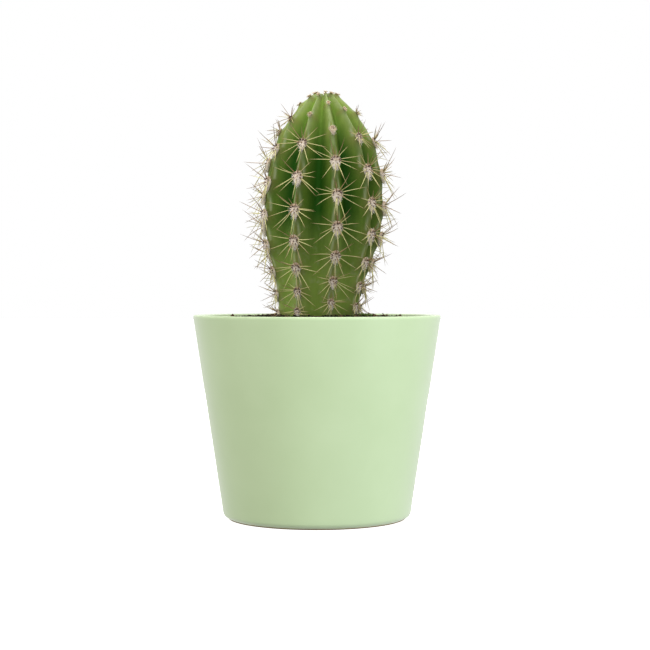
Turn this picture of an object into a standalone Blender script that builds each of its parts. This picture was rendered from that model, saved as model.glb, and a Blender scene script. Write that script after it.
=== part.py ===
"""Potted cactus: a young ribbed cactus in a tapered, glazed ceramic pot filled with soil.

Metres, +Z up. The origin is the centre of the pot's foot, on the surface it stands on, and the
front faces -Y. Angles round the plant are measured from the front towards +X.
"""

import math
import random

import bmesh
import bpy
from mathutils import Vector

# Pot: a straight tapered wall, a flat lip with softened edges and a low unglazed foot ring.
POT_HEIGHT = 0.0745
POT_BASE_RADIUS = 0.0342  # where the wall's straight line would meet the ground
POT_TOP_RADIUS = 0.0455  # where it would meet the level of the lip
POT_WALL = 0.0032
POT_FLOOR = 0.0050
POT_CORNER_RADIUS = 0.0020
POT_SEGMENTS = 52
LIP_TALL = 0.0012  # the lip's outer rounding is taller than it is deep
LIP_INSET = 0.0005
LIP_STEPS = 4
LIP_INNER_RADIUS = 0.0010
FOOT_RADIUS = 0.0328
FOOT_WIDTH = 0.0034
FOOT_HEIGHT = 0.0006
FOOT_EDGE = 0.0003  # the foot's small bevels
FOOT_RECESS = 0.0014
INNER_CORNER_RADIUS = 0.0060

# Soil: fills the pot, and rises in a low mound round the stem.
SEAT_GAP = 0.0003
SOIL_EDGE_DROP = 0.0022  # below the lip, at the wall
SOIL_MOUND = 0.0019
SOIL_LUMP = 0.0005
SOIL_LUMP_SPACING = 0.021
SOIL_RINGS = 5
SOIL_SEGMENTS = 40
HOLE_TOP = 0.004  # above the soil round the stem
HOLE_SEGMENTS = 30

# Stem: the outline of its rib crests, as (height above the soil, radius).
PLANT_X = 0.0002
PLANT_Z = POT_HEIGHT - SOIL_EDGE_DROP + SOIL_MOUND
LEAN = 0.0024  # how far the tip leans towards +X
STEM_OUTLINE = (
    (-0.0155, 0.0),
    (-0.0135, 0.0065),
    (-0.0070, 0.0115),
    (0.0005, 0.0144),
    (0.0060, 0.0152),
    (0.0150, 0.0172),
    (0.0240, 0.0201),
    (0.0320, 0.0218),
    (0.0400, 0.0222),
    (0.0500, 0.0215),
    (0.0600, 0.0193),
    (0.0682, 0.0157),
    (0.0753, 0.0105),
    (0.0796, 0.0062),
    (0.0813, 0.0025),
    (0.0809, 0.0),
)
STEM_HEIGHT = max(height for height, radius in STEM_OUTLINE)
STEM_ROW_STEP = 0.0048
STEM_ROW_CROWDING = 1.25  # above 1 the rows stand closer together near the tip
OUTLINE_STEPS = 12  # points of the fine outline for each span

# Ribs: their depth is a share of the radius, and each crest winds a little on its way down.
RIB_COUNT = 9
RIB_COLUMNS = 6
FIRST_RIB = math.radians(15)
RIB_DEPTH_ROOT = 0.05
RIB_DEPTH_SOIL = 0.09
RIB_DEPTH_FULL = 0.28
RIB_FULL_HEIGHT = 0.042
RIB_SHARPNESS = 1.25  # below 2 the crests are keen and the grooves between them are round
RIB_SHIFTS_TIP = (-6, -17, -12, -8, -3, 2, 6, 10, 4)  # degrees from even spacing
RIB_SHIFTS_SOIL = (3, 9, -6, -7, -8, -9, -10, -11, -4)

# Areoles: woolly pads along each crest, closer together near the soil and smaller near the tip.
AREOLE_FIRST = 0.0105  # along the crest from the tip
AREOLE_PITCH = 0.0127
AREOLE_CROWDING = 0.000037
AREOLE_RANKS = range(-2, 10)
AREOLE_PHASES = (0.03, 0.25, 0.31, 0.66, 0.02, 0.48, 0.94, 0.59, 0.48)
AREOLE_LEAST = 0.0040
AREOLE_SOIL_CLEARANCE = 0.0020
AREOLE_HALF_WIDTH = 0.0020
AREOLE_HALF_HEIGHT = 0.0026
AREOLE_BULGE = 0.0011
AREOLE_SIDES = 6
AREOLE_RINGS = 3
YOUNG_SIZE = 0.30
YOUNG_LENGTH = 0.012  # crest length from which areoles start to grow
GROWN_LENGTH = 0.036  # and where they have their full size
OLD_SIZE = 0.75  # near the soil
OLD_HEIGHT = 0.020

# Spines: (clock angle from the tip's side, lean away from the outward direction, length).
SPINES = (
    (-26, 36, 0.0100),
    (45, 54, 0.0090),
    (96, 71, 0.0100),
    (150, 72, 0.0108),
    (-150, 72, 0.0108),
    (-96, 71, 0.0100),
)
SPINES_BARE_LENGTH = 0.012  # crest length from the tip without spines
SPINES_GROWN_LENGTH = 0.031
SPINES_LAG = (0.007, 0.002, -0.004, -0.002, 0.0, 0.002, -0.001, -0.006, 0.001)  # on each rib
SPINES_LEAST = 0.0015
SPINE_ROOT_RADIUS = 0.00027
SPINE_SUNK = 0.0010
SPINE_SIDES = 3
SPINE_SPREAD = 8  # degrees of random turn either way
SPINE_CLEARANCE = 0.0008  # above the soil

POT_GLAZE = (0.53, 0.66, 0.40)
SOIL_BROWN = (0.030, 0.019, 0.012)
STEM_GREEN = (0.09, 0.19, 0.03)


def clear_scene():
    for old in list(bpy.data.objects):
        bpy.data.objects.remove(old)


def material(name, colour, roughness):
    made = bpy.data.materials.new(name)
    made.use_nodes = True
    shader = made.node_tree.nodes["Principled BSDF"]
    shader.inputs["Base Color"].default_value = (*colour, 1.0)
    shader.inputs["Roughness"].default_value = roughness
    shader.inputs["Metallic"].default_value = 0.0
    return made


def add_object(name, mesh, finish, collection=None):
    made = bpy.data.objects.new(name, mesh)
    (collection or bpy.context.scene.collection).objects.link(made)
    mesh.materials.append(finish)
    return made


def mesh_from(name, build):
    """A mesh filled by build(bm), with its normals facing out."""
    bm = bmesh.new()
    build(bm)
    bmesh.ops.remove_doubles(bm, verts=bm.verts, dist=1e-7)
    bmesh.ops.recalc_face_normals(bm, faces=bm.faces)
    mesh = bpy.data.meshes.new(name)
    bm.to_mesh(mesh)
    bm.free()
    return mesh


def smooth(mesh, sharp_degrees):
    mesh.shade_smooth()
    mesh.set_sharp_from_angle(angle=math.radians(sharp_degrees))


def smoothstep(low, high, value):
    share = min(1.0, max(0.0, (value - low) / (high - low)))
    return share * share * (3 - 2 * share)


def arc(centre, radius, start_degrees, end_degrees, steps):
    """Points of an arc in the (radius, height) plane."""
    points = []
    for step in range(steps + 1):
        angle = math.radians(start_degrees + (end_degrees - start_degrees) * step / steps)
        points.append((centre[0] + radius * math.cos(angle), centre[1] + radius * math.sin(angle)))
    return points


def lathe(name, profile, segments):
    """A solid of revolution round Z from a profile that starts and ends on the axis."""

    def build(bm):
        points = [bm.verts.new((radius, 0.0, height)) for radius, height in profile]
        edges = [bm.edges.new(pair) for pair in zip(points, points[1:])]
        bmesh.ops.spin(
            bm,
            geom=points + edges,
            cent=(0, 0, 0),
            axis=(0, 0, 1),
            angle=2 * math.pi,
            steps=segments,
            use_merge=True,
        )

    return mesh_from(name, build)


# Pot

WALL_SLOPE = (POT_TOP_RADIUS - POT_BASE_RADIUS) / POT_HEIGHT
WALL_LEAN = math.degrees(math.atan(WALL_SLOPE))


def wall_radius(height):
    return POT_BASE_RADIUS + WALL_SLOPE * height


def corner_centre():
    """Centre of the rounded lower corner, which touches the wall and sits on the foot's top."""
    height = FOOT_HEIGHT + POT_CORNER_RADIUS
    offset = POT_CORNER_RADIUS / math.cos(math.radians(WALL_LEAN))
    return wall_radius(height) - offset, height


def inner_radius(height):
    return wall_radius(height) - POT_WALL / math.cos(math.radians(WALL_LEAN))


def lip_profile():
    """Over the lip: a tall soft outer edge, the flat top and the inner edge."""
    points = []
    for step in range(LIP_STEPS + 1):
        turn = math.pi / 2 * step / LIP_STEPS
        height = POT_HEIGHT - LIP_TALL * (1 - math.sin(turn))
        points.append((wall_radius(height) - LIP_INSET * (1 - math.cos(turn)), height))
    inner_height = POT_HEIGHT - LIP_INNER_RADIUS
    inner_offset = LIP_INNER_RADIUS / math.cos(math.radians(WALL_LEAN))
    inner_centre = (inner_radius(inner_height) + inner_offset, inner_height)
    return points + arc(inner_centre, LIP_INNER_RADIUS, 90, 180 - WALL_LEAN, 3)


def pot_profile():
    inner_height = POT_FLOOR + INNER_CORNER_RADIUS
    inner_offset = INNER_CORNER_RADIUS / math.cos(math.radians(WALL_LEAN))
    inner_centre = (inner_radius(inner_height) - inner_offset, inner_height)
    return [
        (0.0, FOOT_RECESS),
        (FOOT_RADIUS - FOOT_WIDTH - FOOT_EDGE, FOOT_RECESS),
        (FOOT_RADIUS - FOOT_WIDTH, 0.0),
        (FOOT_RADIUS - FOOT_EDGE, 0.0),
        (FOOT_RADIUS, FOOT_EDGE),
        (FOOT_RADIUS, FOOT_HEIGHT),
        *arc(corner_centre(), POT_CORNER_RADIUS, -75, -WALL_LEAN, 3),
        *lip_profile(),
        *arc(inner_centre, INNER_CORNER_RADIUS, -WALL_LEAN, -90, 3),
        (0.0, POT_FLOOR),
    ]


def make_pot():
    mesh = lathe("pot", pot_profile(), POT_SEGMENTS)
    smooth(mesh, 40)
    return add_object("pot", mesh, material("pot_glaze", POT_GLAZE, 0.30))


# Soil


def soil_height(radius):
    """Height of the soil's mounded surface at a distance from the pot's axis."""
    edge = inner_radius(POT_HEIGHT)
    return POT_HEIGHT - SOIL_EDGE_DROP + SOIL_MOUND * (1 - (radius / edge) ** 2)


def soil_profile():
    outer_height = POT_HEIGHT - SOIL_EDGE_DROP
    outer_radius = inner_radius(outer_height) - SEAT_GAP
    corner = INNER_CORNER_RADIUS
    corner_height = POT_FLOOR + SEAT_GAP + corner
    corner_offset = corner / math.cos(math.radians(WALL_LEAN))
    corner_middle = (inner_radius(corner_height) - SEAT_GAP - corner_offset, corner_height)
    surface = [
        (outer_radius * (1 - ring / SOIL_RINGS), soil_height(outer_radius * (1 - ring / SOIL_RINGS)))
        for ring in range(1, SOIL_RINGS + 1)
    ]
    return [
        (0.0, POT_FLOOR + SEAT_GAP),
        *arc(corner_middle, corner, -90, -WALL_LEAN, 3),
        (outer_radius, outer_height),
        *surface,
    ]


def roughen_soil(mesh):
    """Low lumps on the soil's surface, which leave its rim and sides as they are."""
    surface_from = POT_HEIGHT - SOIL_EDGE_DROP + 1e-5
    turns = 2 * math.pi / SOIL_LUMP_SPACING
    for vertex in mesh.vertices:
        x, y, z = vertex.co
        if z > surface_from:
            vertex.co.z += SOIL_LUMP * math.sin(turns * (x + y / 3)) * math.sin(turns * (y - x / 4))


def make_hole_cutter():
    """The plain hole that the buried end of the stem stands in."""
    outline = fine_outline()[:: OUTLINE_STEPS // 2]
    buried = [(radius, height) for height, radius in outline if height < HOLE_TOP]
    profile = [(0.0, buried[0][1] - SEAT_GAP)]
    profile += [(radius + SEAT_GAP, height - SEAT_GAP) for radius, height in buried[1:]]
    profile += [(buried[-1][0] + SEAT_GAP, HOLE_TOP), (0.0, HOLE_TOP)]
    cutter = bpy.data.objects.new("stem_hole", lathe("stem_hole", profile, HOLE_SEGMENTS))
    cutter.location = (PLANT_X, 0.0, PLANT_Z)
    bpy.context.scene.collection.objects.link(cutter)
    cutter.hide_render = True
    cutter.display_type = "WIRE"
    return cutter


def make_soil():
    mesh = lathe("soil", soil_profile(), SOIL_SEGMENTS)
    roughen_soil(mesh)
    soil = add_object("soil", mesh, material("potting_soil", SOIL_BROWN, 0.95))
    hole = soil.modifiers.new("stem hole", "BOOLEAN")
    hole.operation = "DIFFERENCE"
    hole.object = make_hole_cutter()
    return soil


# Stem


def fine_outline():
    """The stem's outline as a smooth curve of (height, radius) from root to tip."""
    points = [Vector(point) for point in STEM_OUTLINE]
    before = [points[0] * 2 - points[1], *points]
    after = [*points, points[-1] * 2 - points[-2]]
    curve = [points[0]]
    for span in range(len(points) - 1):
        p0, p1, p2 = before[span], points[span], points[span + 1]
        p3 = after[span + 2]
        for step in range(1, OUTLINE_STEPS + 1):
            t = step / OUTLINE_STEPS
            bend = (2 * p0 - 5 * p1 + 4 * p2 - p3) * t * t
            twist = (3 * p1 - p0 - 3 * p2 + p3) * t * t * t
            curve.append((2 * p1 + (p2 - p0) * t + bend + twist) / 2)
    return curve


class Crest:
    """The line of a rib's crest in its own upright plane, measured from the tip down."""

    def __init__(self):
        self.points = list(reversed(fine_outline()))
        self.lengths = [0.0]
        for upper, lower in zip(self.points, self.points[1:]):
            self.lengths.append(self.lengths[-1] + (lower - upper).length)
        self.whole = self.lengths[-1]
        above_soil = [n for n, point in enumerate(self.points) if point.x > 0.0]
        self.to_soil = self.lengths[above_soil[-1]]

    def at(self, length):
        """(height, radius), and the outward direction there as (up, out)."""
        index = 1
        while index < len(self.points) - 1 and self.lengths[index] < length:
            index += 1
        upper, lower = self.points[index - 1], self.points[index]
        share = (length - self.lengths[index - 1]) / (self.lengths[index] - self.lengths[index - 1])
        down = (lower - upper).normalized()
        return upper.lerp(lower, share), Vector((down.y, -down.x))


def rib_depth(height):
    """Depth of the grooves, as a share of the crest's radius."""
    buried = smoothstep(-0.012, 0.0, height)
    grown = smoothstep(0.0, RIB_FULL_HEIGHT, height)
    depth = RIB_DEPTH_ROOT + (RIB_DEPTH_SOIL - RIB_DEPTH_ROOT) * buried
    return depth + (RIB_DEPTH_FULL - RIB_DEPTH_SOIL) * grown


def rib_angle(rib, height):
    """Angle of a place round the stem, where whole numbers of rib are crests."""
    whole, part = int(rib), rib - int(rib)
    tip, soil = (
        shifts[whole % RIB_COUNT] * (1 - part) + shifts[(whole + 1) % RIB_COUNT] * part
        for shifts in (RIB_SHIFTS_TIP, RIB_SHIFTS_SOIL)
    )
    below_tip = 1 - max(0.0, height) / STEM_HEIGHT
    return FIRST_RIB + rib * 2 * math.pi / RIB_COUNT + math.radians(tip + (soil - tip) * below_tip)


def axis_point(height):
    """Centre of the stem at a height above the soil."""
    below_tip = 1 - max(0.0, height) / STEM_HEIGHT
    lean = LEAN * (1 - below_tip**2)
    return Vector((PLANT_X + lean, 0.0, PLANT_Z + height))


def outwards(angle):
    return Vector((math.sin(angle), -math.cos(angle), 0.0))


def stem_point(crest, length, rib):
    """A point of the ribbed surface, at a length down the crest and a place round the stem."""
    (height, radius), (up, out) = crest.at(length)
    from_crest = abs(rib - round(rib)) * 2
    groove = math.sin(from_crest * math.pi / 2) ** RIB_SHARPNESS
    depth = groove * rib_depth(height) * radius
    direction = outwards(rib_angle(rib, height))
    centre = axis_point(height)
    return centre + direction * (radius - out * depth) - Vector((0, 0, up * depth))


def make_stem_mesh(crest):
    rows = round(crest.whole / STEM_ROW_STEP)
    columns = RIB_COUNT * RIB_COLUMNS

    def build(bm):
        rings = []
        for row in range(1, rows):
            length = crest.whole * (row / rows) ** STEM_ROW_CROWDING
            ring = [
                bm.verts.new(stem_point(crest, length, column / RIB_COLUMNS))
                for column in range(columns)
            ]
            rings.append(ring)
        for upper, lower in zip(rings, rings[1:]):
            for column in range(columns):
                following = (column + 1) % columns
                bm.faces.new((upper[column], lower[column], lower[following], upper[following]))
        for ring, height in ((rings[0], STEM_OUTLINE[-1][0]), (rings[-1], STEM_OUTLINE[0][0])):
            end = bm.verts.new(axis_point(height))
            for column in range(columns):
                bm.faces.new((ring[column], ring[(column + 1) % columns], end))

    return mesh_from("cactus", build)


# Areoles and spines


class Areole:
    """A pad on a crest: where it is, which way it faces, and its share of full size."""

    def __init__(self, crest, rib, length):
        (height, radius), (up, out) = crest.at(length)
        direction = outwards(rib_angle(rib, height))
        self.centre = axis_point(height) + direction * radius
        self.facing = (direction * out + Vector((0, 0, up))).normalized()
        side = Vector((0, 0, 1)).cross(direction).normalized()
        self.side = side
        self.tipward = self.facing.cross(side).normalized()
        young = YOUNG_SIZE + (1 - YOUNG_SIZE) * smoothstep(YOUNG_LENGTH, GROWN_LENGTH, length)
        old = OLD_SIZE + (1 - OLD_SIZE) * smoothstep(0.0, OLD_HEIGHT, height)
        self.size = young * old
        since = length - SPINES_LAG[rib]
        self.spine_growth = smoothstep(SPINES_BARE_LENGTH, SPINES_GROWN_LENGTH, since) * old

    def towards(self, clock, lean):
        """A direction by its clock angle from the tip's side and its lean from the outward one."""
        flat = self.tipward * math.cos(clock) + self.side * math.sin(clock)
        return self.facing * math.cos(lean) + flat * math.sin(lean)


def areole_length(place):
    """Length down the crest of a place in the row, crowded towards the soil and the tip."""
    if place < 0:
        return AREOLE_FIRST * math.exp(AREOLE_PITCH / AREOLE_FIRST * place)
    return AREOLE_FIRST + AREOLE_PITCH * place - AREOLE_CROWDING * place**3


def areoles(crest):
    found = []
    for rib, phase in enumerate(AREOLE_PHASES):
        for rank in AREOLE_RANKS:
            length = areole_length(rank + phase)
            if AREOLE_LEAST < length < crest.to_soil - AREOLE_SOIL_CLEARANCE:
                found.append(Areole(crest, rib, length))
    return found


def areole_mesh(areole):
    """A low woolly dome, half sunk in the crest."""

    def build(bm):
        made = bmesh.ops.create_uvsphere(
            bm, u_segments=AREOLE_SIDES, v_segments=AREOLE_RINGS, radius=1.0
        )
        for vertex in made["verts"]:
            across, along, out = vertex.co * areole.size
            vertex.co = (
                areole.centre
                + areole.side * across * AREOLE_HALF_WIDTH
                + areole.tipward * along * AREOLE_HALF_HEIGHT
                + areole.facing * out * AREOLE_BULGE
            )

    return mesh_from("areole", build)


def spine_mesh(root, tip):
    """A straight three-sided needle with a pointed tip."""

    def build(bm):
        along = (tip - root).normalized()
        side = along.orthogonal().normalized()
        other = along.cross(side)
        point = bm.verts.new(tip)
        ring = []
        for corner in range(SPINE_SIDES):
            angle = 2 * math.pi * corner / SPINE_SIDES
            offset = side * math.cos(angle) + other * math.sin(angle)
            ring.append(bm.verts.new(root + offset * SPINE_ROOT_RADIUS))
        for corner in range(SPINE_SIDES):
            bm.faces.new((ring[corner], ring[(corner + 1) % SPINE_SIDES], point))
        bm.faces.new(ring)

    return mesh_from("spine", build)


def spines_of(areole, rng):
    """(root, tip) of each spine of a pad, with any that would touch the soil bent up clear of it."""
    lowest = PLANT_Z + SPINE_CLEARANCE
    for clock, lean, length in SPINES:
        turn = math.radians(clock + rng.uniform(-SPINE_SPREAD, SPINE_SPREAD))
        tilt = math.radians(lean + rng.uniform(-SPINE_SPREAD, SPINE_SPREAD) / 2)
        reach = length * areole.spine_growth * rng.uniform(0.9, 1.1)
        if reach < SPINES_LEAST:
            continue
        tip = areole.centre + areole.towards(turn, tilt) * reach
        tip.z = max(tip.z, lowest)
        yield areole.centre - areole.facing * SPINE_SUNK, tip


def join_repeats(stem, repeats):
    """Unites a collection of repeats with the stem in one Boolean, then removes them."""
    joined = stem.modifiers.new("repeats", "BOOLEAN")
    joined.operation = "UNION"
    joined.operand_type = "COLLECTION"
    joined.collection = repeats
    graph = bpy.context.evaluated_depsgraph_get()
    whole = bpy.data.meshes.new_from_object(stem.evaluated_get(graph))
    stem.modifiers.clear()
    stem.data = whole
    for repeat in list(repeats.objects):
        bpy.data.objects.remove(repeat)
    bpy.data.collections.remove(repeats)


def make_cactus():
    rng = random.Random(9)
    crest = Crest()
    finish = material("cactus_skin", STEM_GREEN, 0.45)
    stem = add_object("cactus", make_stem_mesh(crest), finish)
    repeats = bpy.data.collections.new("areoles and spines")
    bpy.context.scene.collection.children.link(repeats)
    for areole in areoles(crest):
        add_object("areole", areole_mesh(areole), finish, repeats)
        for root, tip in spines_of(areole, rng):
            add_object("spine", spine_mesh(root, tip), finish, repeats)
    join_repeats(stem, repeats)
    smooth(stem.data, 45)
    return stem


clear_scene()
make_pot()
make_soil()
make_cactus()
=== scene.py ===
"""Looks of the potted cactus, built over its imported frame.

Lengths are metres. The front of the photograph is -Y, and angles round the plant are measured
from the front towards +X.
"""

import math

import bpy
import numpy as np
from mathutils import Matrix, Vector, noise


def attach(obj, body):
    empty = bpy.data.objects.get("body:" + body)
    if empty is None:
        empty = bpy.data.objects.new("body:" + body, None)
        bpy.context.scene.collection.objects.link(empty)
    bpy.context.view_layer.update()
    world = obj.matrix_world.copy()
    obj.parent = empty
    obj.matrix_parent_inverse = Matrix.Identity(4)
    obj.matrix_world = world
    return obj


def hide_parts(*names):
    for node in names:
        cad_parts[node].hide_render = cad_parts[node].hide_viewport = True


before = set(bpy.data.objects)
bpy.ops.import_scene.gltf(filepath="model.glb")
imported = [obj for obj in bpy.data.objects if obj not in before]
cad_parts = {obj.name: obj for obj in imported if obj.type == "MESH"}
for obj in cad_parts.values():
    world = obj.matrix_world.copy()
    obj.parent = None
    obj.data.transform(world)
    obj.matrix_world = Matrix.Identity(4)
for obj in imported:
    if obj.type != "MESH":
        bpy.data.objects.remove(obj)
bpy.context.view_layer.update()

MM = 0.001

# The photograph: 650 pixels square, read as a pinhole camera.
PHOTO_SIZE = 650
FOCAL_PIXELS = 1600
HORIZON_ROW = 290.3
POT_AXIS_COLUMN = 317
CAMERA_DISTANCE = 0.5885
CAMERA_HEIGHT = 0.0836
SENSOR = 36.0  # in the millimetres that a camera's lens is given in

# Studio
WHITE = (1.0, 1.0, 1.0)
AMBIENT = 0.34  # strength of the white background where it lights things
LIGHT_SIZE = 0.40
LIGHTS_AIM = (0.0, 0.0, 0.09)
FLOOR_REACH = 4
NOISE_ROUGHNESS = 0.55

# Pot, with the sizes of the CAD. Its waves, like the other pieces' relief, are layers of noise,
# each given as (cells a metre, offset, height).
POT_HEIGHT = 0.0745
POT_BASE_RADIUS = 0.0342
POT_TOP_RADIUS = 0.0455
POT_WALL = 0.0032
POT_FLOOR = 0.0050
POT_CORNER_RADIUS = 0.0020
POT_SEGMENTS = 256
FOOT_RADIUS = 0.0328
FOOT_WIDTH = 0.0034
FOOT_HEIGHT = 0.0006
FOOT_EDGE = 0.0003
FOOT_RECESS = 0.0014
INNER_CORNER_RADIUS = 0.0060
WALL_SLOPE = (POT_TOP_RADIUS - POT_BASE_RADIUS) / POT_HEIGHT
WALL_LEAN = math.degrees(math.atan(WALL_SLOPE))
GLAZE_WAVES = ((38.0, 0.0, 0.030 * MM), (95.0, 7.0, 0.020 * MM))
LIP_TALL = 0.0012  # the outer edge's rounding is taller than it is deep
LIP_INSET = 0.0005
LIP_INNER_RADIUS = 0.0010

# Soil
SEAT_GAP = 0.0003  # between the soil and what it touches
SOIL_EDGE_DROP = 0.0022  # below the lip
SOIL_MOUND = 0.0019
SOIL_HEAP = 0.35 * MM  # how much the soil's middle stands above the plain mound
SOIL_SEGMENTS = 320
SOIL_RINGS = 110
SOIL_LUMPS = ((170.0, 0.0, 0.30 * MM), (480.0, 5.0, 0.28 * MM), (1300.0, 9.0, 0.20 * MM))
GRAIN_RINGS = 5
GRAIN_SEGMENTS = 8
CLOD_COUNT = 1500
CHIP_COUNT = 90
FIBRE_COUNT = 130
FIBRE_RADII = np.array((0.06, 0.09, 0.09, 0.08, 0.05)) * MM
MOSS_COUNT = 160
MOSS_PLACE = (17.5 * MM, -9.0 * MM)
MOSS_SPREAD = 1.1 * MM
MOSS_RADII = np.array((0.10, 0.14, 0.09)) * MM

# Stem: the outline of its rib crests, as (height above the soil, radius).
PLANT_X = 0.0002
PLANT_Z = POT_HEIGHT - SOIL_EDGE_DROP + SOIL_MOUND
LEAN = 0.0024  # how far the tip is to the right of the root
STEM_OUTLINE = (
    (-0.0155, 0.0),
    (-0.0135, 0.0065),
    (-0.0070, 0.0115),
    (0.0005, 0.0144),
    (0.0060, 0.0152),
    (0.0150, 0.0172),
    (0.0240, 0.0201),
    (0.0320, 0.0218),
    (0.0400, 0.0222),
    (0.0500, 0.0215),
    (0.0600, 0.0193),
    (0.0682, 0.0157),
    (0.0753, 0.0105),
    (0.0796, 0.0062),
    (0.0813, 0.0025),
    (0.0809, 0.0),
)
STEM_HEIGHT = max(height for height, radius in STEM_OUTLINE)
STEM_SOIL_RADIUS = STEM_OUTLINE[3][1]  # of the point nearest to the soil's top
STEM_ROWS = 330
OUTLINE_STEPS = 24  # between each two points
RIB_COUNT = 9
RIB_COLUMNS = 32
FIRST_RIB = math.radians(15)
RIB_DEPTH_ROOT = 0.05  # share of the stem's radius, as are the next two
RIB_DEPTH_SOIL = 0.09
RIB_DEPTH_FULL = 0.28
RIB_FULL_HEIGHT = 0.042
RIB_SHARPNESS = 1.25
RIB_SHIFTS_TIP = (-6, -17, -12, -8, -3, 2, 6, 10, 4)  # degrees from even spacing
RIB_SHIFTS_SOIL = (3, 9, -6, -7, -8, -9, -10, -11, -4)
SWELL_OLD = 0.45 * MM  # how far the crest stands out at a full-sized areole
SWELL_YOUNG = 1.0 * MM
FURROW_LENGTH = 6.5 * MM  # the furrow runs up the crest from each areole
FURROW_HALF_WIDTH = 1.1 * MM
FURROW_DEPTH = 0.30 * MM
# The crest's paler edge is partly the skin's own colour and partly a painted highlight.
CREST_EDGE = 0.90 * MM  # half width of the crest's paler edge
SKIN_RIPPLES = ((150.0, 0.0, 0.16 * MM), (520.0, 3.0, 0.05 * MM))

# Skin colours of young, grown and old parts
FACE_COLOURS = ((0.290, 0.370, 0.088), (0.080, 0.140, 0.018), (0.185, 0.250, 0.058))
# Painted shade: the groove colours are darker to stand for the shade that falls between the ribs.
GROOVE_SHADE_COLOURS = ((0.190, 0.290, 0.045), (0.013, 0.058, 0.004), (0.165, 0.240, 0.045))
# Partly the crests' own paler colour, partly a painted highlight along the crests and the furrows'
# lips.
CREST_EDGE_AND_HIGHLIGHT_COLOUR = (0.270, 0.310, 0.170)
BESIDE_WOOL_COLOUR = (0.190, 0.150, 0.055)
# Grey patches low on the stem: partly scuffs, partly a painted sheen.
SCUFF_AND_SHEEN_COLOUR = (0.260, 0.270, 0.160)

# Areoles, in a row down each crest. Their lengths are measured down the crest from the tip.
AREOLE_FIRST = 0.0105
AREOLE_PITCH = 0.0127
AREOLE_CROWDING = 0.000037
AREOLE_RANKS = range(-2, 10)
AREOLE_PHASES = (0.03, 0.25, 0.31, 0.66, 0.02, 0.48, 0.94, 0.59, 0.48)  # each row's own offset
AREOLE_LEAST = 0.0028
AREOLE_SOIL_CLEARANCE = 0.0005
AREOLE_HALF_WIDTH = 0.0020
AREOLE_HALF_HEIGHT = 0.0025
AREOLE_BULGE = 0.0009
YOUNG_SIZE = 0.30  # share of full size where the length is up to YOUNG_LENGTH
YOUNG_LENGTH = 0.012
GROWN_LENGTH = 0.036
TAN_LENGTH = 0.014  # the wool is tan up to here, and pale from PALE_LENGTH
PALE_LENGTH = 0.034
OLD_SIZE = 0.65  # share of full size at the soil
OLD_HEIGHT = 0.028  # above the soil, from where on the soil's nearness takes nothing off
FELT_RINGS = 9
FELT_SEGMENTS = 16
FELT_LUMPS = ((1300.0, 0.0, 0.16 * MM),)
HAIRS_PER_AREOLE = 240
HAIR_RADII = (0.045 * MM, 0.035 * MM)
HAIR_CURL = 0.30

# Spines: (clock angle from the tip's side, lean away from the outward direction, length in mm).
RADIAL_SPINES = (
    (-56, 66, 7.4),
    (-80, 72, 9.6),
    (-104, 74, 10.2),
    (-128, 75, 11.0),
    (-154, 73, 10.4),
    (178, 70, 10.0),
    (152, 73, 11.0),
    (128, 75, 12.0),
    (104, 74, 10.6),
    (80, 72, 9.6),
    (54, 66, 7.6),
)
CENTRAL_SPINES = (
    (-34, 40, 10.2),
    (30, 50, 9.0),
    (0, 62, 5.6),
    (165, 22, 8.6),
)
SPINES_BARE_LENGTH = 0.012  # down the crest, where the first spines are
SPINES_GROWN_LENGTH = 0.031  # down the crest, where they are full-sized
SPINES_LAG = (0.007, 0.002, -0.004, -0.002, 0.0, 0.002, -0.001, -0.006, 0.001)  # on each rib
SPINE_TURN = 9.0  # degrees by which a spine usually turns from its layout
SPINE_LEAST = 0.8 * MM
SPINE_SHARES = np.array((0.0, 0.08, 0.14, 0.35, 0.60, 0.82, 1.0))
SPINE_RADII = np.array((0.20, 0.20, 0.13, 0.12, 0.10, 0.07)) * MM  # of the bulb and the shaft
SPINE_SIDES = 6
SPINE_CLEARANCE = 0.0008  # above the soil
RADIAL_ROOT = 0.42  # distance from the pad's middle, as a share of its half width
CENTRAL_ROOT = 0.16

rng = np.random.default_rng(17)


# Helpers


def smoothstep(low, high, value):
    share = np.clip((value - low) / (high - low), 0.0, 1.0)
    return share * share * (3 - 2 * share)


def unit(vectors):
    return vectors / np.maximum(np.linalg.norm(vectors, axis=-1, keepdims=True), 1e-12)


def add_piece(name, points, faces, materials, attributes=None):
    """A smooth mesh piece of the part's one body, with float attributes for its materials to read."""
    mesh = bpy.data.meshes.new(name)
    mesh.from_pydata(np.asarray(points).tolist(), [], faces)
    for finish in materials:
        mesh.materials.append(finish)
    for label, values in (attributes or {}).items():
        stored = mesh.attributes.new(label, "FLOAT", "POINT")
        stored.data.foreach_set("value", np.asarray(values, np.float32).ravel())
    mesh.shade_smooth()
    mesh.update()
    piece = bpy.data.objects.new(name, mesh)
    bpy.context.scene.collection.objects.link(piece)
    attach(piece, "root")
    return piece


def grid_faces(rows, columns):
    """Quads of a grid of points that closes round its columns."""
    row = np.arange(rows - 1)[:, None] * columns
    column = np.arange(columns)[None, :]
    following = (column + 1) % columns
    corners = (row + column, row + columns + column, row + columns + following, row + following)
    return np.stack(corners, axis=-1).reshape(-1, 4).tolist()


def arc(centre, radius, start_degrees, end_degrees, steps):
    """Points along an arc, with both its ends."""
    angles = np.radians(np.linspace(start_degrees, end_degrees, steps + 1))
    return [
        (centre[0] + radius * math.cos(angle), centre[1] + radius * math.sin(angle))
        for angle in angles
    ]


def straight(start, end, steps):
    """Points between two ends, without the ends."""
    shares = np.linspace(0, 1, steps + 1)[1:-1]
    return [tuple(np.array(start) * (1 - share) + np.array(end) * share) for share in shares]


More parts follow.
